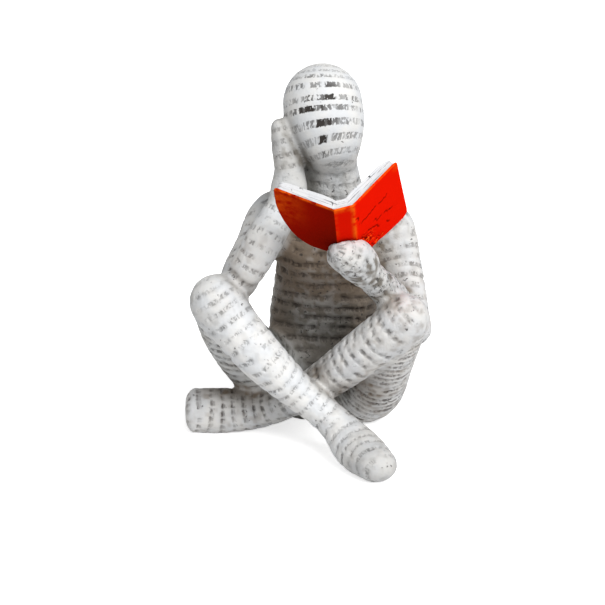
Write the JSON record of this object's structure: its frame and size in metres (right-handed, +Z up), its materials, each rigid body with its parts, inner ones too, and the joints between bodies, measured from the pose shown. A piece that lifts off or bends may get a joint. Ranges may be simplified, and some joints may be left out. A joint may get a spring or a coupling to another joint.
{
  "type": "reading woman figurine",
  "caption": "Seated faceless woman with crossed legs and raised knees, chin near her hand, reading an open red book; skin covered with rows of print",
  "frame": {"origin": "middle of the bounding box in x and y, at the height of the surface it stands on", "axes": "+Z up to the crown, -Y the way she faces, +X her left"},
  "size_m": [0.0986, 0.0942, 0.15],
  "materials": {
    "printed_resin": "matt off-white with rows of small dark marks in low relief",
    "red_paint": "satin red-orange covers and spine, matt off-white pages"
  },
  "bodies": {
    "root": {"reading_figure": "printed_resin", "open_book": "red_paint"}
  },
  "joints": []
}
